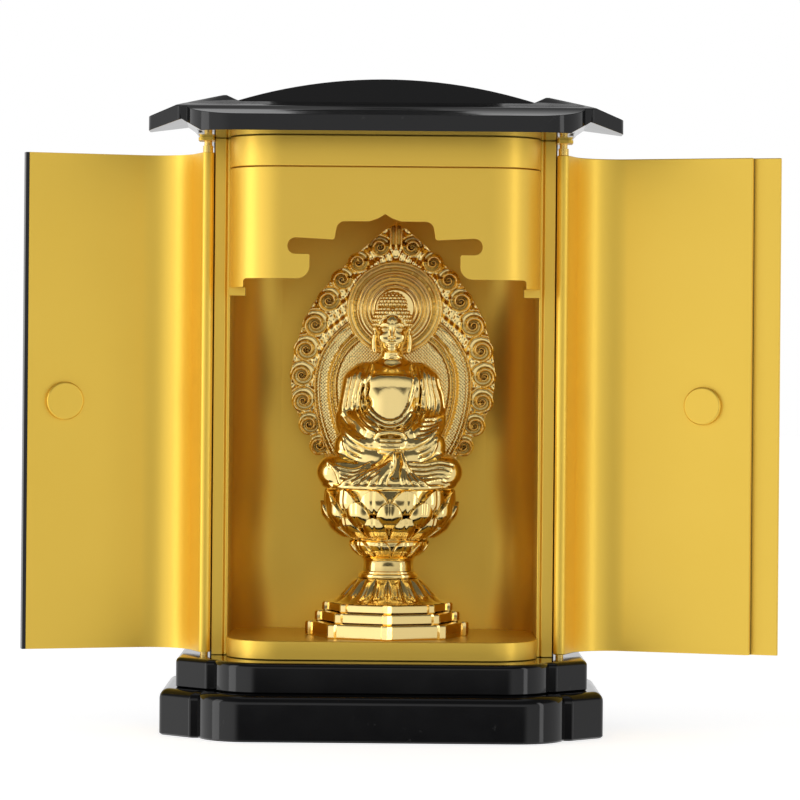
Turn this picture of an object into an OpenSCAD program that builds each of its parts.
// Small cabinet shrine with two curved doors, holding a seated figure on a lotus stand.
// Millimetres. +X is the shrine's right hand side seen from the front, -Y the front, +Z up.
// The origin is the centre of the base's underside.

/* [Base] */
// Width of the lower tier over its ears
base_w = 72; // [66:0.5:78]
// Depth of the lower tier over its front and rear bulges
base_d = 50; // [46:0.5:54]
// Height of the lower tier
lower_h = 7.5; // [6.5:0.1:8.5]
// Height of the upper tier
upper_h = 4.9; // [4:0.1:6]
// How far the upper tier stands back from the lower one
tier_step = 2.5; // [2:0.1:3]

/* [Cabinet] */
// Half width of the space inside
room_hw = 25.4; // [25:0.1:26]
// Y of the rear wall's inner face
room_back = 16; // [15:0.1:17]
// Y of the front edge of floor, valance and frieze
room_front = -16; // [-16.4:0.1:-15]
// Y of the front faces of the jambs
jamb_front = -5.5; // [-6:0.1:-4]
// Thickness of the gold inner liner
liner_t = 1.0; // [0.8:0.1:1.2]
// Thickness of the black outer shell
shell_t = 1.6; // [1.4:0.1:1.8]
// Height of the roof's underside
soffit_z = 97.3; // [94:0.1:100]

/* [Valance] */
// Top of the valance
valance_top = 92.1; // [91:0.1:93]
// Main lower edge of the valance
valance_low = 74.1; // [73:0.1:76]
// Thickness of the valance and frieze boards
board_t = 1.2; // [1:0.1:1.6]

/* [Doors] */
// Opening angle of the doors as modelled
door_open = 161; // [100:1:175]
// Whole thickness of a door
door_t = 2.0; // [1.9:0.1:2.1]
// Lower edge of the doors
door_low = 12.9; // [12.8:0.1:13.4]
// Upper edge of the doors
door_top = 94.9; // [94:0.1:95.2]
// Radius of the pivot pins
pin_r = 0.65; // [0.5:0.01:0.65]
// Diameter of the round caps and knobs
disc_d = 6.3; // [5:0.1:7]

/* [Roof] */
// Width of the roof over its ear tips
roof_w = 76.8; // [72:0.2:80]
// Depth of the roof over its bulges
roof_d = 53; // [50:0.5:56]
// Thickness of the roof's front edge
fascia_h = 2.6; // [2:0.1:3.2]
// Height of the roof's ridge above the underside
ridge_h = 9.4; // [9:0.1:11]

/* [Statue] */
// Radius of the octagonal foot over its corners
foot_r = 13; // [11:0.1:14]
// Radius of the lotus bowl at its rim
bowl_r = 11.6; // [10:0.1:12]
// X of the stand's axis: the statue stands a little off the middle
stand_x = 0.7; // [0:0.1:1.5]
// Y of the stand's axis
stand_y = -1; // [-2:0.1:0]
// Half width of the mandorla
halo_hw = 17.2; // [14:0.1:18]

/* [Hidden] */
$fn = 64;
eps = 0.01;

black = "#1a1a1c";
gold = "#d9b24a";
plated = "#e6b84e";
steel = "#9a9a9a";

// Heights that follow from the driving ones
base_top = lower_h + upper_h;
floor_t = 3.1;
floor_top = base_top + floor_t;
frieze_gap = 0.2;
ceiling_t = 2.3;
leg_low = valance_low - 1.4;
tab_low = leg_low - 1.3;
leg_x = 23;
leg_tab_x = room_hw - 2.6;
tab_d = 3.4;
edge_r = 0.8;
lower_edge_r = 1.5;

// Plan of the tiers: width of the ears, how far they stand back, their slant, radius of the bulges
ear_w = 6.2;
ear_step = 6.4;
ear_slant = 5;
bulge_r = 8.5;

// Plan sizes of walls
wall_t = liner_t + shell_t;
room_r = 8;
front_r = 9;
case_hw = room_hw + wall_t;
case_back = room_back + wall_t;
jamb_t = 1.5;
bead_t = 0.38;
bead_front = -2;
bead_w = 1;

// Doors, drawn closed and turned about their pins
door_gap = 0.2;
hinge_x = case_hw + door_gap + door_t / 2;
hinge_y = jamb_front;
skin_t = door_t / 2;
door_front = room_front - 1.2 - door_t;
door_corner_r = 9;
meet_left = -1.4;
meet_right = 0.1;
lip_reach = -4.3;
lip_root = 3;
lip_t = 0.6;
lip_gap = 0.15;
rebate_gap = 0.3;
edge_cap_t = 0.6;
disc_x = 8.2;
disc_z = (door_low + door_top) / 2;
disc_t = 1.0;
post_r = 1.2;
pin_in_door = 4;
pin_in_socket = 1.4;
pin_play = 0.05;
pad_h = 0.5;
pad_out = 1.5;
pad_hd = 2.6;
pin_in_roof = 1.3;
collar_r = 0.85;
pin_collar_h = 1.1;

// Screws
screw_r = 0.9;
screw_head_r = 1.9;
screw_head_h = 1.2;
post_outer_r = 3;
plinth_wall = 2.2;
cover_t = 1.6;
screw_x = 22;
screw_y = 11;
tie_r = 1.0;
tie_play = 0.1;

// Statue levels
foot_levels = [[foot_r, 2.4], [foot_r - 1.6, 1.7], [foot_r - 2.8, 1.5]];
foot_h = 5.6;
lotus_low_h = 3.9;
collar_h = 0.9;
stem_h = 2.5;
calyx_h = 3.0;
bowl_h = 8.5;
lotus_z = floor_top + foot_h;
collar_z = lotus_z + lotus_low_h;
stem_z = collar_z + collar_h;
calyx_z = stem_z + stem_h;
bowl_z = calyx_z + calyx_h;
seat_z = bowl_z + bowl_h;
halo_x = stand_x + 0.5;
halo_y = 6;
halo_t = 1.4;
halo_tip = 84.3;
halo_wide_z = 57;
halo_low = 41;

function unit(v) = v / norm(v);
function turn(a) = a > 180 ? a - 360 : a < -180 ? a + 360 : a;

// The points that round corner b, between neighbours a and c, with radius r
function corner_arc(a, b, c, r, n) =
    r <= 0 ? [b] :
    let (
        u = unit(a - b),
        v = unit(c - b),
        half = acos(u * v) / 2,
        centre = b + unit(u + v) * (r / sin(half)),
        p = b + u * (r / tan(half)) - centre,
        q = b + v * (r / tan(half)) - centre,
        start = atan2(p[1], p[0]),
        sweep = turn(atan2(q[1], q[0]) - start)
    )
    [for (i = [0:n]) centre + r * [cos(start + sweep * i / n), sin(start + sweep * i / n)]];

// A closed outline from corners [x, y, r]
function rounded(c, n = 8) =
    let (m = len(c))
    [for (i = [0:m - 1])
        let (a = c[(i + m - 1) % m], b = c[i], d = c[(i + 1) % m])
        each corner_arc([a[0], a[1]], [b[0], b[1]], [d[0], d[1]], b[2], n)];

function reversed(list) = [for (i = [len(list) - 1:-1:0]) list[i]];

// Corners of the quarter x > 0, y < 0 in order from the front to the side, mirrored to all four quarters
function four_fold(q) = concat(
    q,
    reversed([for (p = q) [p[0], -p[1], p[2]]]),
    [for (p = q) [-p[0], -p[1], p[2]]],
    reversed([for (p = q) [-p[0], p[1], p[2]]])
);

// Quarter of a disc at a corner: sx and sy say which way it points
module quarter_disc(r, sx, sy) {
    intersection() {
        circle(r = r);
        translate([sx > 0 ? -eps : -r - 1, sy > 0 ? -eps : -r - 1])
            square(r + 1 + eps);
    }
}

// Box |x| <= hw from y0 to y1, its front corners rounded with r0 and its rear corners with r1
module rounded_box(hw, y0, y1, r0, r1) {
    translate([-hw, y0 + r0])
        square([2 * hw, y1 - y0 - r0 - r1]);
    translate([-hw + r0, y0])
        square([2 * (hw - r0), r0 + eps]);
    translate([-hw + r1, y1 - r1 - eps])
        square([2 * (hw - r1), r1 + eps]);
    for (side = [-1, 1]) {
        if (r0 > 0) translate([side * (hw - r0), y0 + r0]) quarter_disc(r0, side, -1);
        if (r1 > 0) translate([side * (hw - r1), y1 - r1]) quarter_disc(r1, side, 1);
    }
}

// Plan of a tier: bulging front and rear, and four ears with slanted corners
module lobed_plan(hw, hd, inset = 0) {
    w = hw - inset;
    d = hd - inset;
    ear_d = d - ear_step;
    rounded_box(w - ear_w, -d, d, bulge_r - inset, bulge_r - inset);
    polygon(rounded(four_fold([[w - ear_w + 1, -ear_d, 0.8], [w, -ear_d + ear_slant, 1.6]]), 6));
}

// A tier with a chamfered upper edge
module tier(hw, hd, z, h, r) {
    translate([0, 0, z])
        linear_extrude(h - r)
            lobed_plan(hw, hd);
    translate([0, 0, z])
        linear_extrude(h - r * 0.35)
            lobed_plan(hw, hd, r * 0.3);
    translate([0, 0, z])
        linear_extrude(h)
            lobed_plan(hw, hd, r * 0.75);
}

module mirrored_x() {
    children();
    mirror([1, 0, 0]) children();
}

module at_corners(x, y) {
    for (sx = [-1, 1], sy = [-1, 1]) {
        translate([sx * x, sy * y, 0]) children();
    }
}

// ---------- Base ----------

module lower_plinth() color(black) {
    difference() {
        union() {
            difference() {
                tier(base_w / 2, base_d / 2, 0, lower_h, lower_edge_r);
                translate([0, 0, -1])
                    linear_extrude(lower_h - plinth_wall + 1)
                        lobed_plan(base_w / 2, base_d / 2, plinth_wall);
            }
            at_corners(screw_x, screw_y)
                translate([0, 0, cover_t])
                    cylinder(r = post_outer_r, h = lower_h - cover_t - 0.5);
        }
        at_corners(screw_x, screw_y)
            cylinder(r = screw_r, h = lower_h - 1);
        translate([stand_x, stand_y, lower_h - plinth_wall - 1])
            cylinder(r = tie_r + tie_play, h = plinth_wall + 2);
    }
}

module upper_plinth() color(black) {
    difference() {
        tier(base_w / 2 - tier_step, base_d / 2 - tier_step, lower_h, upper_h, edge_r);
        mirrored_x()
            translate([hinge_x, hinge_y, base_top - pin_in_socket - 0.1])
                cylinder(r = pin_r + pin_play, h = pin_in_socket + 1);
        translate([stand_x, stand_y, lower_h - eps])
            cylinder(r = tie_r + tie_play, h = upper_h + 2 * eps);
    }
}

module underside_cover() color(black) {
    difference() {
        linear_extrude(cover_t)
            lobed_plan(base_w / 2, base_d / 2, plinth_wall + 0.15);
        at_corners(screw_x, screw_y)
            translate([0, 0, -eps])
                cylinder(r = screw_r + 0.1, h = cover_t + 2 * eps);
        at_corners(screw_x, screw_y)
            translate([0, 0, -eps])
                cylinder(r = screw_head_r + 0.1, h = screw_head_h + 0.1 + eps);
    }
}

// A pan head screw, head down, its head's bearing face at z = 0
module screw(length) {
    translate([0, 0, -screw_head_h + 0.2])
        difference() {
            cylinder(r = screw_head_r, h = screw_head_h - 0.2);
            for (a = [0, 90])
                rotate(a)
                    translate([-screw_head_r * 0.6, -0.2, -eps])
                        cube([screw_head_r * 1.2, 0.4, 0.5]);
        }
    cylinder(r = screw_r, h = length);
}

module base_screws() color(steel) {
    at_corners(screw_x, screw_y)
        translate([0, 0, screw_head_h + 0.1])
            screw(4.5);
}

// ---------- Cabinet ----------

// U-shaped wall plan, open to the front at y0
module wall_plan(hw, back, r, t, y0) {
    difference() {
        rounded_box(hw, y0, back, 0, r);
        rounded_box(hw - t, y0 - 1, back - t, 0, r - t);
    }
}

module back_shell() color(black) {
    translate([0, 0, base_top])
        linear_extrude(soffit_z - base_top)
            wall_plan(case_hw, case_back, room_r + wall_t, shell_t, jamb_front + jamb_t);
    // Beads on the side walls, which close the gaps behind the door knuckles
    mirrored_x()
        translate([case_hw - eps, bead_front, base_top])
            cube([bead_t + eps, bead_w, soffit_z - base_top]);
}

module inner_liner() color(gold) {
    translate([0, 0, base_top])
        linear_extrude(soffit_z - base_top)
            wall_plan(room_hw + liner_t, room_back + liner_t, room_r + liner_t, liner_t, jamb_front + jamb_t);
}

module jamb() {
    seam = 0.25;
    difference() {
        translate([room_hw, jamb_front, base_top])
            cube([wall_t, jamb_t, soffit_z - base_top]);
        translate([room_hw + liner_t * 0.5, jamb_front - eps, base_top - eps])
            cube([seam, 0.5, soffit_z - base_top + 2 * eps]);
    }
}

module left_jamb() color(gold) mirror([1, 0, 0]) jamb();
module right_jamb() color(gold) jamb();

// Plan of the floor, also the outline that the valance and the frieze follow at the front
module room_plan(inset = 0) {
    rounded_box(room_hw - inset, room_front + inset, room_back, front_r - inset, room_r);
}

// The board that runs along the rounded front between the jambs
module front_board_plan() {
    difference() {
        rounded_box(room_hw, room_front, jamb_front, front_r, 0);
        rounded_box(room_hw - board_t, room_front + board_t, jamb_front + 1, front_r - board_t, 0);
    }
}

module floor_plate() color(gold) {
    translate([0, 0, base_top])
        difference() {
            linear_extrude(floor_t)
                room_plan();
            translate([stand_x, stand_y, -eps])
                cylinder(r = tie_r + tie_play, h = floor_t + 2 * eps);
        }
}

module ceiling_plate() color(gold) {
    translate([0, 0, soffit_z - ceiling_t])
        difference() {
            linear_extrude(ceiling_t)
                room_plan(board_t + 0.1);
            at_corners(roof_screw_x, roof_screw_y)
                translate([0, 0, -eps])
                    cylinder(r = screw_r + 0.1, h = ceiling_t + 2 * eps);
        }
}

module frieze() color(gold) {
    translate([0, 0, valance_top + frieze_gap])
        linear_extrude(soffit_z - valance_top - frieze_gap)
            front_board_plan();
}

// Right half of the cut-out in the valance, as corners [x, z, r]: an ogee peak, a bar, a slot with a
// round end, a lower step and the wide lower opening between the legs
cutout_half = [
    [0, valance_low + 10.5, 0],
    [1.1, valance_low + 9.8, 0.8],
    [2.6, valance_low + 9.3, 1.5],
    [7.7, valance_low + 9.3, 1.4],
    [8.2, valance_low + 6.3, 0.4],
    [16.0, valance_low + 6.7, 1.35],
    [15.6, valance_low + 3.95, 1.3],
    [12.2, valance_low + 3.95, 0.3],
    [12.2, valance_low, 2.0],
    [leg_x, valance_low, 0.5],
    [leg_x, leg_low - 2, 0]
];

cutout_mirror = reversed([for (p = cutout_half) if (p[0] > 0) [-p[0], p[1], p[2]]]);

module cutout() {
    polygon(rounded(concat(cutout_half, cutout_mirror), 6));
}

module valance() color(gold) {
    difference() {
        translate([0, 0, leg_low])
            linear_extrude(valance_top - leg_low)
                front_board_plan();
        translate([0, jamb_front, 0])
            rotate([90, 0, 0])
                linear_extrude(jamb_front - room_front + 2)
                    cutout();
    }
}

module valance_tabs() color(gold) {
    mirrored_x()
        translate([leg_tab_x, jamb_front - tab_d, tab_low])
            cube([room_hw - leg_tab_x, tab_d, leg_low - tab_low]);
}

// ---------- Roof ----------

roof_top = soffit_z + ridge_h;
arc_r = 78;
arc_hw = 24.5;
crest_x = 26;
ear_x = roof_w / 2 - 5.6;
roof_screw_x = 15;
roof_screw_y = 8;
waist_x = 31.8;
waist_y = 3.5;
ear_back_y = -12.5;

// Front view of skirt, wings and ears, from the ear tip to the middle
function skirt_front() = [
    [roof_w / 2, soffit_z + 0.5],
    [roof_w / 2, soffit_z + 2.8],
    [ear_x, soffit_z + 4.7],
    [crest_x + 0.4, soffit_z + 6.4],
    [crest_x - 0.2, soffit_z + 6.4],
    [arc_hw, soffit_z + 5.7],
    [arc_hw - 1, soffit_z + 5.2]
];
function skirt_under() = [
    [ear_x - 3.4, soffit_z],
    [ear_x, soffit_z + 2.1]
];

// Side view of the skirt: front edge, hollow slope, flat
function skirt_side() = [
    [-roof_d / 2, soffit_z],
    [-roof_d / 2, soffit_z + fascia_h],
    [-roof_d / 2 + 4.5, soffit_z + 3.6],
    [-roof_d / 2 + 8.5, soffit_z + 4.9],
    [-roof_d / 2 + 13, soffit_z + 6.8],
    [-roof_d / 2 + 15, soffit_z + 7.6]
];

// Plan of the roof: ears at the front, behind which the sides draw in
module roof_plan() {
    intersection() {
        lobed_plan(roof_w / 2, roof_d / 2);
        both_sides([
            [roof_w / 2 + 1, -roof_d], [roof_w / 2 + 1, ear_back_y], [waist_x, waist_y], [waist_x, roof_d]
        ]);
    }
}

module extrude_y(depth) {
    translate([0, depth / 2, 0])
        rotate([90, 0, 0])
            linear_extrude(depth)
                children();
}

module extrude_x(width) {
    translate([-width / 2, 0, 0])
        rotate([90, 0, 90])
            linear_extrude(width)
                children();
}

module both_sides(half) {
    polygon(concat(half, reversed([for (p = half) [-p[0], p[1]]])));
}

module roof_skirt() {
    intersection() {
        extrude_y(roof_d + 2)
            both_sides(concat(skirt_under(), skirt_front()));
        extrude_x(roof_w + 2)
            both_sides([for (p = skirt_side()) [-p[0], p[1]]]);
        translate([0, 0, soffit_z - 1])
            linear_extrude(ridge_h + 2)
                roof_plan();
    }
}

module roof_vault() {
    foot_y = roof_d / 2 - 12;
    head_y = foot_y - 3;
    intersection() {
        extrude_y(2 * foot_y)
            intersection() {
                translate([0, roof_top - arc_r])
                    circle(r = arc_r, $fn = 180);
                translate([-arc_hw, soffit_z + 2])
                    square([2 * arc_hw, ridge_h]);
            }
        extrude_x(roof_w)
            polygon([
                [foot_y, soffit_z + 2], [foot_y, soffit_z + 4.8], [head_y, roof_top + eps],
                [-head_y, roof_top + eps], [-foot_y, soffit_z + 4.8], [-foot_y, soffit_z + 2]
            ]);
    }
}

soffit_t = 1.6;
soffit_inset = 7.9;
hollow_hw = 20;
hollow_hd = 9;
hollow_h = 2.4;

module soffit_plan(inset) {
    hd = roof_d / 2 - 3 - inset;
    rounded_box(roof_w / 2 - soffit_inset - inset, -hd, hd, 8, 8);
}

module roof() color(black) {
    difference() {
        union() {
            roof_skirt();
            roof_vault();
        }
        translate([0, 0, soffit_z - eps])
            linear_extrude(soffit_t + eps)
                soffit_plan(0);
        translate([-hollow_hw, -hollow_hd, soffit_z])
            difference() {
                cube([2 * hollow_hw, 2 * hollow_hd, soffit_t + hollow_h]);
                translate([hollow_hw, hollow_hd, 0])
                    at_corners(roof_screw_x, roof_screw_y)
                        cylinder(r = post_outer_r, h = ridge_h);
            }
        at_corners(roof_screw_x, roof_screw_y)
            translate([0, 0, soffit_z])
                cylinder(r = screw_r, h = soffit_t + 3);
    }
}

module roof_soffit() color(black) {
    difference() {
        translate([0, 0, soffit_z])
            linear_extrude(soffit_t)
                soffit_plan(0.1);
        mirrored_x()
            translate([hinge_x, hinge_y, soffit_z - eps])
                cylinder(r = pin_r + pin_play, h = pin_in_roof + 0.1);
        at_corners(roof_screw_x, roof_screw_y)
            translate([0, 0, soffit_z - eps])
                cylinder(r = screw_r + 0.1, h = soffit_t + 2 * eps);
    }
}

// Small plates under the soffit that the upper pins turn in
module pivot_pads() color(gold) {
    pad_in = hinge_x - case_hw - 0.1;
    corners = [
        [-pad_in, -pad_hd, 0.4],
        [pad_out, -pad_hd, 0.8],
        [pad_out, pad_hd, 0.8],
        [-pad_in, pad_hd, 0.4]
    ];
    mirrored_x()
        translate([hinge_x, hinge_y, soffit_z - pad_h])
            difference() {
                linear_extrude(pad_h)
                    polygon(rounded(corners, 4));
                translate([0, 0, -eps])
                    cylinder(r = pin_r + pin_play, h = pad_h + 2 * eps);
            }
}

module roof_screws() color(steel) {
    at_corners(roof_screw_x, roof_screw_y)
        translate([0, 0, soffit_z - ceiling_t])
            screw(ceiling_t + soffit_t + 2.5);
}

// ---------- Doors ----------

// Opens a door drawn closed; side is -1 for the left door and 1 for the right
module opened(side) {
    translate([side * hinge_x, hinge_y, 0])
        rotate(side * door_open)
            translate([-side * hinge_x, -hinge_y, 0])
                children();
}

// Plan of the right door's outside, closed, shrunk by inset
module door_outline(inset, free_x, start_y) {
    outer = hinge_x + door_t / 2 - inset;
    front = door_front + inset;
    r = door_corner_r - inset;
    translate([free_x, front])
        square([outer - r - free_x, start_y - front]);
    translate([outer - r - eps, front + r])
        square([r + eps, start_y - front - r]);
    translate([outer - r, front + r])
        quarter_disc(r, 1, -1);
}

// Plan of one layer of the right door, closed: from depth a to depth b below its outer face
module door_layer(a, b, free_x, start_y) {
    difference() {
        door_outline(a, free_x, start_y);
        door_outline(b, free_x - 1, start_y + 1);
    }
}

module door_height() {
    translate([0, 0, door_low])
        linear_extrude(door_top - door_low)
            children();
}

module post_hole() {
    translate([disc_x, door_front - 1, disc_z])
        rotate([-90, 0, 0])
            cylinder(r = post_r, h = door_t + 2);
}

knuckle_end = hinge_y - door_t / 2 - 0.4;

module right_door_shell() color(black) opened(1) {
    difference() {
        door_height()
            door_layer(0, skin_t, meet_right, knuckle_end);
        translate([meet_right - 1, door_front - 1, door_low - eps])
            cube([lip_root - meet_right + 1, 1 + lip_t, door_top - door_low + 2 * eps]);
        post_hole();
    }
}

module left_door_shell() color(black) opened(-1) mirror([1, 0, 0]) {
    rebate_x = -lip_reach + rebate_gap;
    difference() {
        door_height()
            union() {
                door_layer(0, skin_t, -meet_left, knuckle_end);
                translate([-meet_left, door_front + skin_t - eps])
                    square([edge_cap_t, skin_t + eps]);
            }
        translate([-meet_left - 1, door_front - 1, door_low - eps])
            cube([rebate_x + meet_left + 1, 1 + lip_t + lip_gap, door_top - door_low + 2 * eps]);
        post_hole();
    }
}

// Gold inner layer with the full round knuckle that the pins are pressed in
module door_lining(free_x) {
    difference() {
        door_height()
            union() {
                door_layer(skin_t, door_t, free_x, hinge_y);
                translate([hinge_x, hinge_y])
                    circle(r = door_t / 2);
                translate([hinge_x - door_t / 2, knuckle_end])
                    square([door_t, hinge_y - knuckle_end]);
            }
        post_hole();
        translate([hinge_x, hinge_y, door_low - eps])
            cylinder(r = pin_r, h = pin_in_door + eps);
        translate([hinge_x, hinge_y, door_top - pin_in_door])
            cylinder(r = pin_r, h = pin_in_door + eps);
    }
}

module left_door_lining() color(gold)
    opened(-1) mirror([1, 0, 0]) door_lining(-meet_left + edge_cap_t);
module right_door_lining() color(gold)
    opened(1) door_lining(meet_right);

module right_door_lip() color(gold) opened(1) {
    translate([lip_reach, door_front, door_low])
        cube([lip_root - lip_reach, lip_t, door_top - door_low]);
}

module door_pins() {
    gap_low = door_low - base_top;
    gap_top = soffit_z - door_top;
    translate([hinge_x, hinge_y, door_low - gap_low - pin_in_socket])
        cylinder(r = pin_r, h = pin_in_socket + gap_low + pin_in_door);
    translate([hinge_x, hinge_y, door_top - pin_in_door])
        cylinder(r = pin_r, h = pin_in_roof + gap_top + pin_in_door);
    translate([hinge_x, hinge_y, door_top])
        cylinder(r = collar_r, h = pin_collar_h);
}

module left_door_pins() color(gold) opened(-1) mirror([1, 0, 0]) door_pins();
module right_door_pins() color(gold) opened(1) door_pins();

// Round cap on the inside of the door, with the socket for the knob's post
module disc_cap() {
    translate([disc_x, door_front + door_t, disc_z])
        rotate([-90, 0, 0])
            rotate_extrude()
                polygon([
                    [0, 0], [disc_d / 2, 0], [disc_d / 2, disc_t - 0.2],
                    [disc_d / 2 - 0.2, disc_t], [0, disc_t]
                ]);
}

module left_disc_cap() color(gold) opened(-1) mirror([1, 0, 0]) disc_cap();
module right_disc_cap() color(gold) opened(1) disc_cap();

// Knob outside, with its post through the door
module door_pull() {
    knob_h = 3;
    translate([disc_x, door_front + door_t, disc_z])
        rotate([90, 0, 0])
            rotate_extrude()
                polygon([
                    [0, 0], [post_r, 0], [post_r, door_t], [disc_d / 2 - 0.6, door_t],
                    [disc_d / 2 - 1.2, door_t + 0.8], [disc_d / 2 - 0.2, door_t + 1.8],
                    [disc_d / 2 - 0.2, door_t + knob_h - 0.5], [disc_d / 2 - 0.7, door_t + knob_h],
                    [0, door_t + knob_h]
                ]);
}

module left_door_pull() color(gold) opened(-1) mirror([1, 0, 0]) door_pull();
module right_door_pull() color(gold) opened(1) door_pull();

// ---------- Statue ----------

module on_stand(z) {
    translate([stand_x, stand_y, z]) children();
}

module tie_bore(h) {
    translate([0, 0, -eps])
        cylinder(r = tie_r + tie_play, h = h + 2 * eps);
}

module pedestal_foot() color(plated) on_stand(floor_top) {
    difference() {
        union() {
            for (i = [0:len(foot_levels) - 1]) {
                below = i == 0 ? 0 : i == 1 ? foot_levels[0][1] : foot_levels[0][1] + foot_levels[1][1];
                translate([0, 0, below])
                    cylinder(r = foot_levels[i][0], h = foot_levels[i][1], $fn = 8);
            }
        }
        tie_bore(foot_h);
    }
}

// Turned shape from [radius, height] points above the bottom
module turned(points) {
    bore = tie_r + tie_play;
    last = points[len(points) - 1];
    rotate_extrude()
        polygon(concat([[bore, points[0][1]]], points, [[bore, last[1]]]));
}

module lower_lotus() color(plated) on_stand(lotus_z)
    turned([
        [foot_r - 3.6, 0], [foot_r - 4.2, 0.8], [foot_r - 5.6, 2.0], [foot_r - 7.2, 3.2], [foot_r - 8, 3.7],
        [foot_r - 8.2, lotus_low_h], [foot_r - 8.25, lotus_low_h], [foot_r - 8.25, lotus_low_h + collar_h]
    ]);

module stand_stem() color(plated) on_stand(stem_z)
    turned([[4.4, 0], [4.2, 0.3], [4.2, stem_h - 0.3], [4.4, stem_h]]);

module calyx() color(plated) on_stand(calyx_z)
    turned([[4.4, 0], [5.0, 0.5], [5.9, 1.3], [6.5, 2.3], [6.4, calyx_h]]);

module lotus_bowl() color(plated) on_stand(bowl_z)
    rotate_extrude()
        polygon([
            [0, 0], [6.6, 0], [8.4, 1.2], [10.0, 2.8], [11.1, 4.6], [bowl_r, 6.6],
            [bowl_r - 0.2, bowl_h - 0.3], [bowl_r - 0.6, bowl_h], [0, bowl_h]
        ]);

module ball(x, y, z, r) {
    translate([x, y, z])
        sphere(r = r, $fn = 24);
}

module buddha_figure() color(plated) on_stand(seat_z) {
    // Crossed legs
    hull() {
        mirrored_x()
            ball(8.4, -3.4, 3.0, 3.0);
        ball(0, -6.4, 2.2, 2.2);
        ball(0, 3.6, 3.2, 3.2);
    }
    // Trunk, from the lap to the shoulders
    hull() {
        mirrored_x()
            ball(3.2, 1.4, 6, 3.4);
        mirrored_x()
            ball(4.4, 2.2, 19.4, 2.6);
    }
    // Upper arms and forearms
    for (side = [-1, 1]) {
        hull() {
            ball(side * 6.1, 2.0, 19.0, 2.2);
            ball(side * 7.0, 0.8, 10.0, 2.1);
        }
        hull() {
            ball(side * 7.0, 0.8, 9.6, 2.0);
            ball(side * 1.6, -4.4, 6.6, 1.6);
        }
    }
    // Neck and head with its topknot
    translate([0, 1.6, 20])
        cylinder(r = 1.7, h = 4);
    ball(0, 0.9, 25.6, 2.9);
    ball(0, 1.1, 28.0, 2.7);
    ball(0, 1.4, 31.0, 1.5);
}

// Half outline of the mandorla, [x, z]: wide near the middle, drawn in to a point and to its root
function halo_half(n = 24) = [for (i = [0:n])
    let (t = i / n, z = halo_low + (halo_tip - halo_low) * t, u = (z - halo_wide_z))
    [u < 0 ? halo_hw * sqrt(max(0, 1 - pow(u / 26, 2)) ) - 4.2 * pow(u / (halo_low - halo_wide_z), 2)
           : halo_hw * pow(cos(90 * u / (halo_tip - halo_wide_z)), 0.7), z]];

module mandorla() color(plated) {
    tenon_hw = 3;
    translate([halo_x, halo_y + halo_t, 0])
        rotate([90, 0, 0])
            linear_extrude(halo_t)
                both_sides(halo_half());
    translate([halo_x - tenon_hw, halo_y, seat_z])
        cube([2 * tenon_hw, halo_t, 3]);
}

module statue_tie_bolt() color(steel) {
    head_h = 1.6;
    translate([stand_x, stand_y, lower_h - plinth_wall - head_h]) {
        cylinder(r = 2.2, h = head_h);
        cylinder(r = tie_r, h = bowl_z - lower_h + plinth_wall + head_h);
    }
}

lower_plinth();
upper_plinth();
underside_cover();
base_screws();
back_shell();
inner_liner();
left_jamb();
right_jamb();
floor_plate();
ceiling_plate();
frieze();
valance();
valance_tabs();
roof();
roof_soffit();
pivot_pads();
roof_screws();
left_door_shell();
left_door_lining();
left_door_pins();
left_disc_cap();
left_door_pull();
right_door_shell();
right_door_lining();
right_door_lip();
right_door_pins();
right_disc_cap();
right_door_pull();
pedestal_foot();
lower_lotus();
stand_stem();
calyx();
lotus_bowl();
buddha_figure();
mandorla();
statue_tie_bolt();
